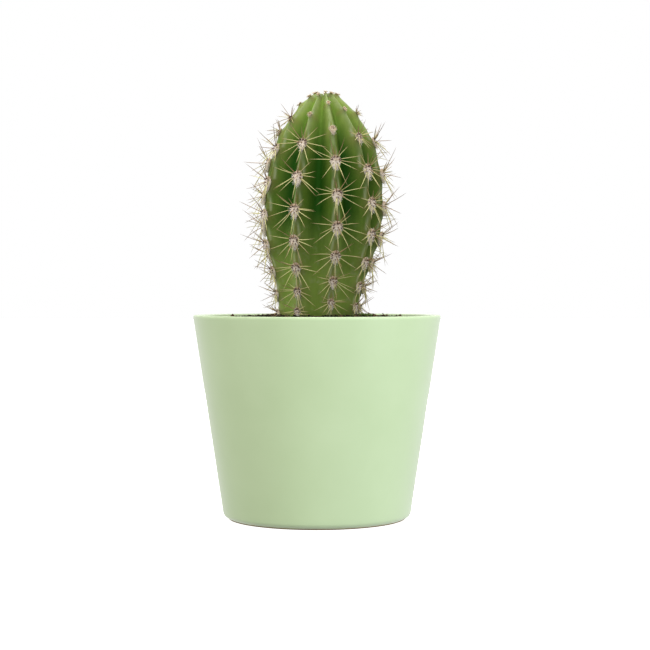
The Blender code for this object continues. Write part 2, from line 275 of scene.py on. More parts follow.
def revolve(profile, segments):
    """Points and faces of a solid of revolution whose profile starts and ends on the axis."""
    turns = np.linspace(0, 2 * math.pi, segments, endpoint=False)
    rings = np.array(profile[1:-1])
    x = rings[:, 0, None] * np.sin(turns)
    y = -rings[:, 0, None] * np.cos(turns)
    z = np.repeat(rings[:, 1, None], segments, axis=1)
    points = np.stack((x, y, z), axis=-1).reshape(-1, 3)
    faces = grid_faces(len(rings), segments)
    points, faces = close_ends(points, faces, segments, profile[0][1], profile[-1][1])
    return points, faces


def close_ends(points, faces, segments, first_height, last_height, centres=((0, 0), (0, 0))):
    """Fans that close the first and last ring of a grid on a point of the axis."""
    count = len(points)
    ends = [(*centres[0], first_height), (*centres[1], last_height)]
    last = count - segments
    following = [(column + 1) % segments for column in range(segments)]
    faces = faces + [[count, column, following[column]] for column in range(segments)]
    faces += [[count + 1, last + following[column], last + column] for column in range(segments)]
    return np.vstack((points, ends)), faces


def noise_at(points, scale, offset):
    """Perlin noise at each point, from about -1 to 1."""
    moved = np.asarray(points) * scale + offset
    return np.array([noise.noise(Vector(point)) for point in moved])


def relief(points, layers):
    """Height of the sum of some layers of noise at each point."""
    return sum(noise_at(points, scale, offset) * height for scale, offset, height in layers)


def copied_faces(pattern, size, count):
    """Faces of so many copies of a mesh, whose points follow each other, size points in each."""
    return [
        [number * size + corner for corner in face] for number in range(count) for face in pattern
    ]


def strands(paths, radii, sides):
    """Points and faces of tapering hairs along paths (n, k, 3), with a radius for all but the tip.

    Also returns the numbers of each point's place on its path and of its hair."""
    count, steps, _ = paths.shape
    tangents = unit(np.gradient(paths, axis=1))
    lean = unit(rng.normal(size=(count, 1, 3)))
    side = unit(np.cross(tangents, lean))
    other = np.cross(tangents, side)
    turns = np.linspace(0, 2 * math.pi, sides, endpoint=False)[:, None]
    rings = (
        paths[:, :-1, None]
        + radii[:, :, None, None] * np.cos(turns) * side[:, :-1, None]
        + radii[:, :, None, None] * np.sin(turns) * other[:, :-1, None]
    )
    per_hair = (steps - 1) * sides + 1
    points = np.concatenate((rings.reshape(count, -1, 3), paths[:, -1:]), axis=1)
    pattern = [list(range(sides))[::-1]]
    for ring in range(steps - 2):
        for corner in range(sides):
            low, following = ring * sides + corner, ring * sides + (corner + 1) % sides
            pattern.append([low, following, following + sides, low + sides])
    last = (steps - 2) * sides
    for corner in range(sides):
        pattern.append([last + corner, last + (corner + 1) % sides, per_hair - 1])
    step = np.append(np.repeat(np.arange(steps - 1), sides), steps - 1)
    return (
        points.reshape(-1, 3),
        copied_faces(pattern, per_hair, count),
        np.tile(step, count),
        np.repeat(np.arange(count), per_hair),
    )


# Materials


def new_material(name, **settings):
    """A Principled material and its node tree, with the shader's own sockets set."""
    made = bpy.data.materials.new(name)
    made.use_nodes = True
    shader = made.node_tree.nodes["Principled BSDF"]
    for socket, value in settings.items():
        shader.inputs[socket.replace("_", " ")].default_value = value
    return made, made.node_tree, shader


def add_node(tree, kind, inputs=None, **settings):
    """A node whose inputs are linked where they are sockets and set where they are values."""
    node = tree.nodes.new(kind)
    for name, value in settings.items():
        setattr(node, name, value)
    for name, value in (inputs or {}).items():
        if isinstance(value, bpy.types.NodeSocket):
            tree.links.new(value, node.inputs[name])
        else:
            node.inputs[name].default_value = value
    return node


def rgba(colour):
    return (*colour, 1.0)


def mix(tree, factor, low, high, blend="MIX"):
    """Two colours mixed by a factor, each given as numbers or as a socket."""
    inputs = {"Fac": factor}
    inputs["Color1"] = low if isinstance(low, bpy.types.NodeSocket) else rgba(low)
    inputs["Color2"] = high if isinstance(high, bpy.types.NodeSocket) else rgba(high)
    return add_node(tree, "ShaderNodeMixRGB", inputs, blend_type=blend).outputs["Color"]


def remap(tree, value, low, high, to_low=0.0, to_high=1.0):
    """A value moved from one range to another, and kept inside that one."""
    inputs = {
        "Value": value,
        "From Min": low,
        "From Max": high,
        "To Min": to_low,
        "To Max": to_high,
    }
    return add_node(tree, "ShaderNodeMapRange", inputs, clamp=True).outputs["Result"]


def multiply(tree, first, second):
    """The product of two factors, each given as a number or as a socket."""
    made = add_node(tree, "ShaderNodeMath", operation="MULTIPLY")
    for index, value in enumerate((first, second)):
        if isinstance(value, bpy.types.NodeSocket):
            tree.links.new(value, made.inputs[index])
        else:
            made.inputs[index].default_value = value
    return made.outputs["Value"]


def attribute(tree, name):
    return add_node(tree, "ShaderNodeAttribute", attribute_name=name).outputs["Fac"]


def noise_texture(tree, scale, detail, stretch=None):
    """Noise in object space, in so many cells a metre, times the stretch along each axis."""
    place = add_node(tree, "ShaderNodeTexCoord").outputs["Object"]
    if stretch:
        place = add_node(
            tree, "ShaderNodeMapping", {"Vector": place, "Scale": stretch}
        ).outputs["Vector"]
    inputs = {"Vector": place, "Scale": scale, "Detail": detail, "Roughness": NOISE_ROUGHNESS}
    return add_node(tree, "ShaderNodeTexNoise", inputs).outputs["Fac"]


def bump(tree, shader, height, strength, distance):
    inputs = {"Height": height, "Strength": strength, "Distance": distance}
    made = add_node(tree, "ShaderNodeBump", inputs)
    tree.links.new(made.outputs["Normal"], shader.inputs["Normal"])


def glaze_material():
    """Pale green satin glaze, with soft clouds in its colour and its shine."""
    made, tree, shader = new_material(
        "pot_glaze_satin",
        Roughness=0.3,
        Specular_IOR_Level=0.5,
        Coat_Weight=0.25,
        Coat_Roughness=0.12,
    )
    clouds = remap(tree, noise_texture(tree, 45, 3), 0.1, 0.9)
    base = mix(tree, clouds, (0.375, 0.474, 0.258), (0.421, 0.520, 0.300))
    tree.links.new(base, shader.inputs["Base Color"])
    rough = remap(tree, noise_texture(tree, 60, 2), 0.1, 0.9, 0.26, 0.35)
    tree.links.new(rough, shader.inputs["Roughness"])
    return made


def clay_material():
    made, tree, shader = new_material("pot_foot_clay", Roughness=0.9)
    grain = remap(tree, noise_texture(tree, 1500, 4), 0.3, 0.7)
    base = mix(tree, grain, (0.10, 0.055, 0.028), (0.20, 0.12, 0.065))
    tree.links.new(base, shader.inputs["Base Color"])
    bump(tree, shader, grain, 0.5, 0.0002)
    return made


def soil_material(name, dark, light):
    """Rough crumbs between two colours, with pale grit."""
    made, tree, shader = new_material(name, Roughness=0.95, Specular_IOR_Level=0.2)
    lumps = remap(tree, noise_texture(tree, 350, 5), 0.35, 0.68)
    base = mix(tree, lumps, dark, light)
    grit = remap(tree, noise_texture(tree, 2200, 3), 0.62, 0.72)
    base = mix(tree, multiply(tree, grit, 0.6), base, (0.11, 0.075, 0.045))
    tree.links.new(base, shader.inputs["Base Color"])
    bump(tree, shader, noise_texture(tree, 1600, 5), 0.9, 0.0006)
    return made


def aged_colour(tree, age, grown_age, colours):
    """A colour that goes from its young through its grown to its old one down the stem."""
    young, grown, old = colours
    made = mix(tree, remap(tree, age, 0.02, grown_age), young, grown)
    return mix(tree, remap(tree, age, 0.58, 0.84), made, old)


def skin_material():
    """The stem's skin: its colour follows the height, the crests, the grooves and the areoles, with
    painted shade in the grooves.
    """
    made, tree, shader = new_material(
        "cactus_skin_waxy",
        Roughness=0.48,
        Specular_IOR_Level=0.06,
        Subsurface_Weight=0.05,
        Subsurface_Scale=0.0010,
        Subsurface_Radius=(0.5, 1.0, 0.15),
    )
    age = attribute(tree, "age")
    groove = attribute(tree, "groove")
    near = attribute(tree, "near")
    patches = remap(tree, noise_texture(tree, 160, 4), 0.3, 0.7)
    streaks = remap(tree, noise_texture(tree, 700, 3, stretch=(1.0, 1.0, 0.10)), 0.3, 0.7)
    face = aged_colour(tree, age, 0.40, FACE_COLOURS)
    # Painted shade: darker colours in the grooves, where shade falls between the ribs.
    groove_shade = aged_colour(tree, age, 0.34, GROOVE_SHADE_COLOURS)
    base = mix(tree, remap(tree, groove, 0.42, 0.95), face, groove_shade)
    base = mix(tree, multiply(tree, patches, 0.5), base, (0.70, 0.76, 0.60), "MULTIPLY")
    base = mix(tree, multiply(tree, streaks, 0.4), base, (0.62, 0.70, 0.52), "MULTIPLY")
    # Partly painted highlight: the pale edge along the crests and the furrows' lips.
    edge = multiply(tree, attribute(tree, "edge"), remap(tree, streaks, 0.0, 1.0, 0.75, 0.45))
    base = mix(tree, edge, base, CREST_EDGE_AND_HIGHLIGHT_COLOUR)
    base = mix(tree, remap(tree, near, 0.10, 0.90, 0.0, 0.40), base, BESIDE_WOOL_COLOUR)
    # Grey patches on the older stem: partly scuffs, partly a painted sheen.
    scuffs_and_sheen = remap(tree, noise_texture(tree, 420, 6), 0.56, 0.70)
    scuffs_and_sheen = multiply(tree, scuffs_and_sheen, remap(tree, age, 0.55, 0.95, 0.0, 0.4))
    base = mix(tree, scuffs_and_sheen, base, SCUFF_AND_SHEEN_COLOUR)
    tree.links.new(base, shader.inputs["Base Color"])
    rough = remap(tree, patches, 0.0, 1.0, 0.38, 0.52)
    tree.links.new(rough, shader.inputs["Roughness"])
    bump(tree, shader, noise_texture(tree, 2600, 3), 0.25, 0.00015)
    return made


def wool_material(name, pale, warm, young):
    """Wool that is warmer in the upper half of each areole, and tan in the young ones."""
    made, tree, shader = new_material(
        name,
        Roughness=0.9,
        Specular_IOR_Level=0.2,
        Sheen_Weight=0.15,
        Subsurface_Weight=0.3,
        Subsurface_Scale=0.0008,
        Subsurface_Radius=(1.0, 0.9, 0.8),
    )
    base = mix(tree, remap(tree, attribute(tree, "upper"), -0.1, 0.8), pale, warm)
    base = mix(tree, attribute(tree, "youth"), base, young)
    shade = remap(tree, noise_texture(tree, 1800, 2), 0.3, 0.7, 0.0, 0.22)
    base = mix(tree, shade, base, (0.22, 0.15, 0.10))
    tree.links.new(base, shader.inputs["Base Color"])
    return made


def spine_material(name, root, shaft, tip):
    """Dark where it leaves the wool and towards its tip, with some spines browner than others."""
    made, tree, shader = new_material(name, Roughness=0.45, Specular_IOR_Level=0.35)
    along = attribute(tree, "along")
    brown = attribute(tree, "brown")
    base = mix(tree, multiply(tree, brown, 0.75), shaft, tip)
    base = mix(tree, remap(tree, along, 0.09, 0.16), root, base)
    base = mix(tree, remap(tree, along, 0.55, 1.0, 0.0, 0.9), base, tip)
    tree.links.new(base, shader.inputs["Base Color"])
    return made


def plain_material(name, dark, light, scale, roughness):
    """Blotches between two colours, for the small things on the soil."""
    made, tree, shader = new_material(name, Roughness=roughness)
    blotches = remap(tree, noise_texture(tree, scale, 4), 0.3, 0.7)
    tree.links.new(mix(tree, blotches, dark, light), shader.inputs["Base Color"])
    bump(tree, shader, blotches, 0.4, 0.0003)
    return made


# Pot


def wall_radius(height):
    return POT_BASE_RADIUS + WALL_SLOPE * height


def inner_radius(height):
    return wall_radius(height) - POT_WALL / math.cos(math.radians(WALL_LEAN))


def pot_foot_profile():
    """The unglazed foot: the recess under the pot and the ring that it stands on."""
    inside = FOOT_RADIUS - FOOT_WIDTH
    return [
        (0.0, FOOT_RECESS),
        *straight((0.0, FOOT_RECESS), (inside - FOOT_EDGE, FOOT_RECESS), 6),
        (inside - FOOT_EDGE, FOOT_RECESS),
        (inside, 0.0),
        (FOOT_RADIUS - FOOT_EDGE, 0.0),
        (FOOT_RADIUS, FOOT_EDGE),
        (FOOT_RADIUS, FOOT_HEIGHT * 0.7),
    ]


def lip_profile():
    """Over the lip: a soft outer edge, a nearly flat top and a rounder inner edge."""
    outer = []
    for turn in np.radians(np.linspace(0, 90, 13)):
        height = POT_HEIGHT - LIP_TALL * (1 - math.sin(turn))
        outer.append((wall_radius(height) - LIP_INSET * (1 - math.cos(turn)), height))
    inner_height = POT_HEIGHT - LIP_INNER_RADIUS
    offset = LIP_INNER_RADIUS / math.cos(math.radians(WALL_LEAN))
    centre = (inner_radius(inner_height) + offset, inner_height)
    inner = arc(centre, LIP_INNER_RADIUS, 90, 180 - WALL_LEAN, 10)
    return [*outer, *straight(outer[-1], inner[0], 4), *inner]


def pot_glaze_profile():
    """The glazed skin from its rolled edge above the foot, up, over the lip and down inside."""
    lean = math.radians(WALL_LEAN)
    corner_height = FOOT_HEIGHT + POT_CORNER_RADIUS
    corner = (wall_radius(corner_height) - POT_CORNER_RADIUS / math.cos(lean), corner_height)
    inner_height = POT_FLOOR + INNER_CORNER_RADIUS
    inner = (inner_radius(inner_height) - INNER_CORNER_RADIUS / math.cos(lean), inner_height)
    outside = arc(corner, POT_CORNER_RADIUS, -78, -WALL_LEAN, 10)
    top = lip_profile()
    inside = arc(inner, INNER_CORNER_RADIUS, -WALL_LEAN, -90, 8)
    return [
        *outside,
        *straight(outside[-1], top[0], 40),
        *top,
        *straight(top[-1], inside[0], 24),
        *inside,
        (0.0, POT_FLOOR),
    ]


def make_pot():
    """The pot in one piece, whose wall waves very slightly and whose foot has no glaze."""
    foot, skin = pot_foot_profile(), pot_glaze_profile()
    points, faces = revolve(foot + skin, POT_SEGMENTS)
    wall = smoothstep(0.002, 0.010, points[:, 2])
    outward = unit(points * (1, 1, 0))
    points = points + outward * (relief(points, GLAZE_WAVES) * wall)[:, None]
    pot = add_piece("pot_ceramic", points, faces, (glaze_material(), clay_material()))
    unglazed = (len(foot) - 2) * POT_SEGMENTS
    for face in pot.data.polygons:
        if min(face.vertices) < unglazed or face.vertices[0] == len(points) - 2:
            face.material_index = 1
    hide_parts("pot")
    return pot


# Stem


class Crest:
    """The line of a rib's crest in its own upright plane, measured from the tip down.

    It is a smooth curve through the outline's points."""

    def __init__(self):
        knots = np.array(STEM_OUTLINE)
        before = np.vstack((knots[0] * 2 - knots[1], knots))
        after = np.vstack((knots, knots[-1] * 2 - knots[-2]))
        curve = [knots[:1]]
        t = (np.arange(1, OUTLINE_STEPS + 1) / OUTLINE_STEPS)[:, None]
        for span in range(len(knots) - 1):
            p0, p1, p2, p3 = before[span], knots[span], knots[span + 1], after[span + 2]
            bend = (2 * p0 - 5 * p1 + 4 * p2 - p3) * t**2
            twist = (3 * p1 - p0 - 3 * p2 + p3) * t**3
            curve.append((2 * p1 + (p2 - p0) * t + bend + twist) / 2)
        line = np.vstack(curve)[::-1]
        self.heights, self.radii = line[:, 0], line[:, 1]
        steps = np.linalg.norm(np.diff(line, axis=0), axis=1)
        self.lengths = np.concatenate(([0.0], np.cumsum(steps)))
        self.whole = self.lengths[-1]
        self.to_soil = self.lengths[self.heights > 0.0][-1]
        slopes = unit(np.gradient(line, axis=0))
        self.ups, self.outs = slopes[:, 1], -slopes[:, 0]

    def at(self, length):
        """Height, radius and the outward direction (up, out) at lengths from the tip."""
        values = (self.heights, self.radii, self.ups, self.outs)
        return [np.interp(length, self.lengths, value) for value in values]


def rib_depth(height):
    """Depth of the grooves as a share of the stem's radius, at heights above the soil."""
    buried = smoothstep(-0.012, 0.0, height)
    grown = smoothstep(0.0, RIB_FULL_HEIGHT, height)
    depth = RIB_DEPTH_ROOT + (RIB_DEPTH_SOIL - RIB_DEPTH_ROOT) * buried
    return depth + (RIB_DEPTH_FULL - RIB_DEPTH_SOIL) * grown


def rib_angle(rib, height):
    """Angle of a place round the stem, where whole numbers of rib are crests."""
    ribs = np.arange(RIB_COUNT + 1)
    tip, soil = (
        np.interp(rib % RIB_COUNT, ribs, shifts + shifts[:1])
        for shifts in (RIB_SHIFTS_TIP, RIB_SHIFTS_SOIL)
    )
    below_tip = 1 - np.maximum(0.0, height) / STEM_HEIGHT
    return FIRST_RIB + rib * 2 * math.pi / RIB_COUNT + np.radians(tip + (soil - tip) * below_tip)


def axis_x(height):
    """Where the stem's axis is, which leans to the right above the soil."""
    below_tip = 1 - np.maximum(0.0, height) / STEM_HEIGHT
    return PLANT_X + LEAN * (1 - below_tip**2)


class Areole:
    """A pad on a crest: where it is, which way it faces, and its share of full size."""

    def __init__(self, crest, rib, length):
        height, radius, up, out = (float(value) for value in crest.at(length))
        angle = float(rib_angle(rib, height))
        direction = np.array((math.sin(angle), -math.cos(angle), 0.0))
        self.rib = rib
        self.length = length
        young = YOUNG_SIZE + (1 - YOUNG_SIZE) * smoothstep(YOUNG_LENGTH, GROWN_LENGTH, length)
        old = OLD_SIZE + (1 - OLD_SIZE) * smoothstep(0.0, OLD_HEIGHT, height)
        self.size = young * old
        self.youth = 1 - smoothstep(TAN_LENGTH, PALE_LENGTH, length)
        self.swell = SWELL_OLD * self.size + (SWELL_YOUNG - SWELL_OLD) * self.youth
        since = length - SPINES_LAG[rib]
        self.spine_growth = smoothstep(SPINES_BARE_LENGTH, SPINES_GROWN_LENGTH, since) * old
        self.facing = unit(direction * out + np.array((0.0, 0.0, up)))
        self.side = unit(np.cross((0.0, 0.0, 1.0), direction))
        self.tipward = np.cross(self.facing, self.side)
        on_crest = np.array((float(axis_x(height)), 0.0, PLANT_Z + height)) + direction * radius
        self.centre = on_crest + self.facing * self.swell

    def towards(self, clock, lean):
        """The direction at a clock angle from the tip's side that leans away from straight out."""
        flat = self.tipward * math.cos(clock) + self.side * math.sin(clock)
        return self.facing * math.cos(lean) + flat * math.sin(lean)

    def dome(self, across, along, out):
        """A point of the pad, from shares of its half width, half height and bulge.

        A young pad is flatter, and every pad narrows and trails towards the soil."""
        lower = np.maximum(0.0, -along)
        bulge = AREOLE_BULGE * (1 - 0.45 * self.youth) * self.size
        return (
            self.centre
            + (across * (1 - 0.45 * lower) * AREOLE_HALF_WIDTH * self.size)[:, None] * self.side
            + (along * (1 + 0.25 * lower) * AREOLE_HALF_HEIGHT * self.size)[:, None] * self.tipward
            + (out * bulge)[:, None] * self.facing
        )


def areole_length(place):
    """Length down the crest of a place in the row, crowded towards the soil and the tip."""
    if place < 0:
        return AREOLE_FIRST * math.exp(AREOLE_PITCH / AREOLE_FIRST * place)
    return AREOLE_FIRST + AREOLE_PITCH * place - AREOLE_CROWDING * place**3


def find_areoles(crest):
    found = []
    for rib, phase in enumerate(AREOLE_PHASES):
        for rank in AREOLE_RANKS:
            length = areole_length(rank + phase)
            if AREOLE_LEAST < length < crest.to_soil - AREOLE_SOIL_CLEARANCE:
                found.append(Areole(crest, rib, length))
    return found


def areole_marks(areoles, length, place, from_crest, beside):
    """What the areoles do to the skin, on a grid of lengths down the stem and places round it.

    Returns how far it swells, how near it is to wool, and how much it is a crest's pale edge, which
    is partly a painted highlight."""
    nearest = np.round(place).astype(int) % RIB_COUNT
    swell = np.zeros(beside.shape)
    near = np.zeros(beside.shape)
    edge = 0.8 * np.exp(-((beside / CREST_EDGE) ** 2))
    for areole in areoles:
        along = length - areole.length
        on_rib = nearest == areole.rib
        reach = AREOLE_HALF_HEIGHT * areole.size
        half_swell = 0.8 * MM + reach
        rise = np.exp(-((along / half_swell) ** 2) - (from_crest / 0.42) ** 2)
        swell += on_rib * areole.swell * rise
        upward = -(along + 0.5 * reach) / (FURROW_LENGTH * areole.size)
        fading = smoothstep(0.0, 0.12, upward) * (1 - smoothstep(0.5, 1.0, upward))
        half_width = FURROW_HALF_WIDTH * areole.size * (1.15 - 0.55 * np.clip(upward, 0, 1))
        furrow = on_rib * fading * np.exp(-((beside / half_width) ** 4))
        swell -= furrow * FURROW_DEPTH * areole.size
        lips = np.exp(-(((beside - 1.15 * half_width) / (0.35 * MM)) ** 2))
        edge = np.where(on_rib * fading > 0, edge * (1 - fading) + 1.5 * lips * fading, edge)
        spot = np.exp(-((along / (1.4 * reach)) ** 2) - (beside / (1.2 * AREOLE_HALF_WIDTH)) ** 2)
        near = np.maximum(near, np.maximum(on_rib * spot, 0.75 * furrow))
    return swell, near, edge


def make_stem(crest, areoles):
    """The ribbed stem, from a grid of lengths down a crest and places round the ribs."""
    rows, columns = STEM_ROWS, RIB_COUNT * RIB_COLUMNS
    length = np.linspace(0, crest.whole, rows + 2)[1:-1, None]
    place = np.arange(columns)[None, :] / RIB_COLUMNS
    from_crest = np.abs(place - np.round(place)) * 2
    height, radius, up, out = crest.at(length)
    groove = np.sin(from_crest * math.pi / 2) ** RIB_SHARPNESS
    angle = rib_angle(place, height)
    beside = np.abs(angle - rib_angle(np.round(place), height)) * radius
    swell, near, edge = areole_marks(areoles, length, place, from_crest, beside)

    sunk = groove * rib_depth(height) * radius - swell
    flat = radius - out * sunk
    x = axis_x(height) + np.sin(angle) * flat
    y = -np.cos(angle) * flat
    z = PLANT_Z + height - up * sunk + 0 * angle
    points = np.stack((x, y, z), axis=-1).reshape(-1, 3)
    outward = unit(points - np.array((PLANT_X, 0.0, PLANT_Z + STEM_HEIGHT / 2)))
    points = points + outward * relief(points, SKIN_RIPPLES)[:, None]

    faces = grid_faces(rows, columns)
    tip, root = crest.at(0.0), crest.at(crest.whole)
    centres = ((float(axis_x(tip[0])), 0.0), (float(axis_x(root[0])), 0.0))
    ends = (PLANT_Z + float(tip[0]), PLANT_Z + float(root[0]))
    points, faces = close_ends(points, faces, columns, *ends, centres)
    age = np.repeat(length / crest.to_soil, columns, axis=1).ravel()
    attributes = {
        "age": np.append(age, (0.0, 1.2)),
        "groove": np.append((groove + 0 * length).ravel(), (0.5, 0.5)),
        "near": np.append(near.ravel(), (0.0, 0.0)),
        "edge": np.append(edge.ravel(), (0.0, 0.0)),
    }
    stem = add_piece("cactus_stem", points, faces, (skin_material(),), attributes)
    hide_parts("cactus")
    return stem


# Areoles


def felt_points(areole, sphere):
    """The pad's felted core: a lumpy half-sunk dome."""
    points = areole.dome(sphere[:, 0], sphere[:, 1], sphere[:, 2])
    return points + areole.facing * relief(points, FELT_LUMPS)[:, None]


def unit_sphere(rings, segments):
    """Points and faces of a sphere whose radius is 1, with its first and last point on the Z axis."""
    latitude = np.linspace(0, math.pi, rings + 2)[1:-1, None]
    turn = np.linspace(0, 2 * math.pi, segments, endpoint=False)[None, :]
    x = np.sin(latitude) * np.cos(turn)
    y = np.sin(latitude) * np.sin(turn)
    z = np.cos(latitude) + 0 * turn
    points = np.stack((x, y, z), axis=-1).reshape(-1, 3)
    return close_ends(points, grid_faces(rings, segments), segments, 1.0, -1.0)


def make_felt(areoles, finish):
    sphere, pattern = unit_sphere(FELT_RINGS, FELT_SEGMENTS)
    points = np.vstack([felt_points(areole, sphere) for areole in areoles])
    faces = copied_faces(pattern, len(sphere), len(areoles))
    attributes = {
        "upper": np.tile(sphere[:, 1], len(areoles)),
        "youth": np.repeat([areole.youth for areole in areoles], len(sphere)),
    }
    return add_piece("areole_felt", points, faces, (finish,), attributes)


def hair_paths(areole, count):
    """Short curling hairs that stand all over the pad, longer and trailing on its lower side.

    A young pad has fewer in its middle. Also returns each one's place along the pad."""
    spread = np.sqrt(rng.uniform(0.4 * areole.youth, 1, count))
    turn = rng.uniform(0, 2 * math.pi, count)
    across, along = spread * np.cos(turn), spread * np.sin(turn)
    out = np.sqrt(np.maximum(0.0, 1 - spread**2))
    roots = areole.dome(across, along, out * 0.8)
    lower = np.maximum(0.0, -along)
    direction = (
        areole.facing * (0.45 + 0.5 * out)[:, None]
        + areole.side * (across * 0.7)[:, None]
        + areole.tipward * (along * 0.5 - lower * 0.9)[:, None]
        + rng.normal(scale=0.45, size=(count, 3))
    )
    reach = rng.uniform(0.4, 0.9, count) * MM * (0.45 + 0.55 * areole.size) * (1 + 1.1 * lower)
    steps = unit(direction) * reach[:, None]
    curl = rng.normal(scale=HAIR_CURL, size=(count, 3)) * reach[:, None]
    middles = roots + steps * 0.5 + curl * 0.5
    tips = roots + steps - areole.facing * (reach * 0.15)[:, None]
    return np.stack((roots, middles, tips), axis=1), along


def make_wool(areoles, finish):
    paths, upper, youth = [], [], []
    for areole in areoles:
        count = int(HAIRS_PER_AREOLE * (0.35 + 0.65 * areole.size))
        path, along = hair_paths(areole, count)
        paths.append(path)
        upper.append(along)
        youth.append(np.full(count, areole.youth))
    paths = np.concatenate(paths)
    radii = np.tile(HAIR_RADII, (len(paths), 1))
    points, faces, _, hair = strands(paths, radii, 3)
    attributes = {"upper": np.concatenate(upper)[hair], "youth": np.concatenate(youth)[hair]}
    return add_piece("areole_wool", points, faces, (finish,), attributes)


def spine_paths(areoles, layout, rooted):
    """Gently curved spines of one kind for every pad, kept clear of the soil.

    They leave the upper half of the pad. Also returns each one's thickness and brownness."""
    paths, widths, browns = [], [], []
    shares = SPINE_SHARES[:, None]
    for areole in areoles:
        for clock, lean, length in layout:
            turn = math.radians(clock + rng.normal(0, SPINE_TURN))
            tilt = math.radians(lean + rng.normal(0, SPINE_TURN * 0.6))
            reach = length * MM * areole.spine_growth * rng.uniform(0.72, 1.14)
            if reach < SPINE_LEAST:
                continue
            direction = areole.towards(turn, tilt)
            flat = areole.towards(turn, math.pi / 2)
            root = areole.centre + areole.size * (
                flat * rooted * AREOLE_HALF_WIDTH
                + areole.tipward * 0.32 * AREOLE_HALF_HEIGHT
                + areole.facing * 0.5 * AREOLE_BULGE
            )
            bow = unit(np.cross(direction, rng.normal(size=3))) * reach * rng.normal(0, 0.025)
            path = root + direction * reach * shares + bow * 4 * shares * (1 - shares)
            path[:, 2] = np.maximum(path[:, 2], PLANT_Z + SPINE_CLEARANCE)
            paths.append(path)
            widths.append(0.65 + 0.35 * areole.spine_growth)
            usual = 0.15 + 0.35 * (abs(clock) < 70) + 0.4 * areole.youth
            browns.append(np.clip(rng.normal(usual, 0.22), 0, 1))
    return np.array(paths), np.array(widths), np.array(browns)


def make_spines(name, areoles, layout, rooted, finish):
    """All spines of one layout, which leave the pads at a share of their half width."""
    paths, widths, browns = spine_paths(areoles, layout, rooted)
    radii = SPINE_RADII * widths[:, None]
    points, faces, step, spine = strands(paths, radii, SPINE_SIDES)
    attributes = {"along": SPINE_SHARES[step], "brown": browns[spine]}
    return add_piece(name, points, faces, (finish,), attributes)


# Soil


def soil_height(radius):
    """Height of the soil's plain mound at a distance from the pot's axis."""
    edge = inner_radius(POT_HEIGHT)
    heap = SOIL_HEAP * (1 - smoothstep(0.60, 0.92, radius / edge))
    return POT_HEIGHT - SOIL_EDGE_DROP + SOIL_MOUND * (1 - (radius / edge) ** 2) + heap


def soil_profile(crest):
    """From the middle of the pot's floor, up its wall, over the mound and down the stem's hole."""
    outer_height = POT_HEIGHT - SOIL_EDGE_DROP
    outer_radius = inner_radius(outer_height) - SEAT_GAP
    corner_height = POT_FLOOR + SEAT_GAP + INNER_CORNER_RADIUS
    lean = math.cos(math.radians(WALL_LEAN))
    corner = (inner_radius(corner_height) - SEAT_GAP - INNER_CORNER_RADIUS / lean, corner_height)
    lower = arc(corner, INNER_CORNER_RADIUS, -90, -WALL_LEAN, 6)
    buried = crest.heights < 0.0
    hole = [
        (radius + SEAT_GAP, PLANT_Z + height - SEAT_GAP)
        for height, radius in zip(crest.heights[buried][::4], crest.radii[buried][::4])
    ]
    rings = np.linspace(outer_radius, hole[0][0] + SEAT_GAP, SOIL_RINGS)
    return [
        (0.0, POT_FLOOR + SEAT_GAP),
        *lower,
        *straight(lower[-1], (outer_radius, outer_height), 10),
        *[(radius, soil_height(radius)) for radius in rings],
        *hole[:-1],
        (0.0, hole[-1][1]),
    ]


def make_soil(crest, finish):
    """The bed, whose top alone is lumpy, and less so at the pot's wall."""
    points, faces = revolve(soil_profile(crest), SOIL_SEGMENTS)
    radius = np.linalg.norm(points[:, :2], axis=1)
    level = soil_height(radius)
    top = smoothstep(-0.0012, -0.0002, points[:, 2] - level)
    edge = inner_radius(POT_HEIGHT - SOIL_EDGE_DROP) - SEAT_GAP
    inside = smoothstep(edge, edge - 0.0012, radius)
    points[:, 2] += relief(points, SOIL_LUMPS) * top * (0.3 + 0.7 * inside)
    soil = add_piece("soil_bed", points, faces, (finish,))
    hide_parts("soil")
    return soil


def scatter_on_soil(count, margin):
    """Random places on the soil's surface between the stem and the pot's wall."""
    outer = inner_radius(POT_HEIGHT) - SEAT_GAP - margin
    inner = STEM_SOIL_RADIUS + margin * 0.3
    radius = np.sqrt(rng.uniform(inner**2, outer**2, count))
    turn = rng.uniform(0, 2 * math.pi, count)
    x, y = radius * np.sin(turn), -radius * np.cos(turn)
    return np.stack((x, y, soil_height(radius)), axis=-1)


def make_lumps(name, places, sizes, roughness, finish):
    """Irregular grains: squashed, turned and dented spheres, sunk by nearly half."""
    sphere, pattern = unit_sphere(GRAIN_RINGS, GRAIN_SEGMENTS)
    points = []
    for place, size in zip(places, sizes):
        axes, _ = np.linalg.qr(rng.normal(size=(3, 3)))
        dents = 1 + roughness * noise_at(sphere * 1.3, 1.0, rng.uniform(0, 90))
        grain = (sphere * dents[:, None] * size) @ axes.T
        points.append(grain + place + np.array((0, 0, size[2] * 0.1)))
    faces = copied_faces(pattern, len(sphere), len(points))
    return add_piece(name, np.vstack(points), faces, (finish,))


def make_clods(finish):
    places = scatter_on_soil(CLOD_COUNT, 1.0 * MM)
    scale = 0.2 + 0.4 * rng.uniform(0, 1, CLOD_COUNT) ** 2
    sizes = scale[:, None] * rng.uniform(0.7, 1.2, (CLOD_COUNT, 3)) * MM
    return make_lumps("soil_clods", places, sizes, 0.5, finish)


def make_chips(finish):
    places = scatter_on_soil(CHIP_COUNT, 2.0 * MM)
    lengths = rng.uniform(0.7, 1.9, CHIP_COUNT) * MM
    sizes = np.stack((lengths, lengths * 0.45, lengths * 0.22), axis=1)
    return make_lumps("soil_bark", places, sizes, 0.35, finish)


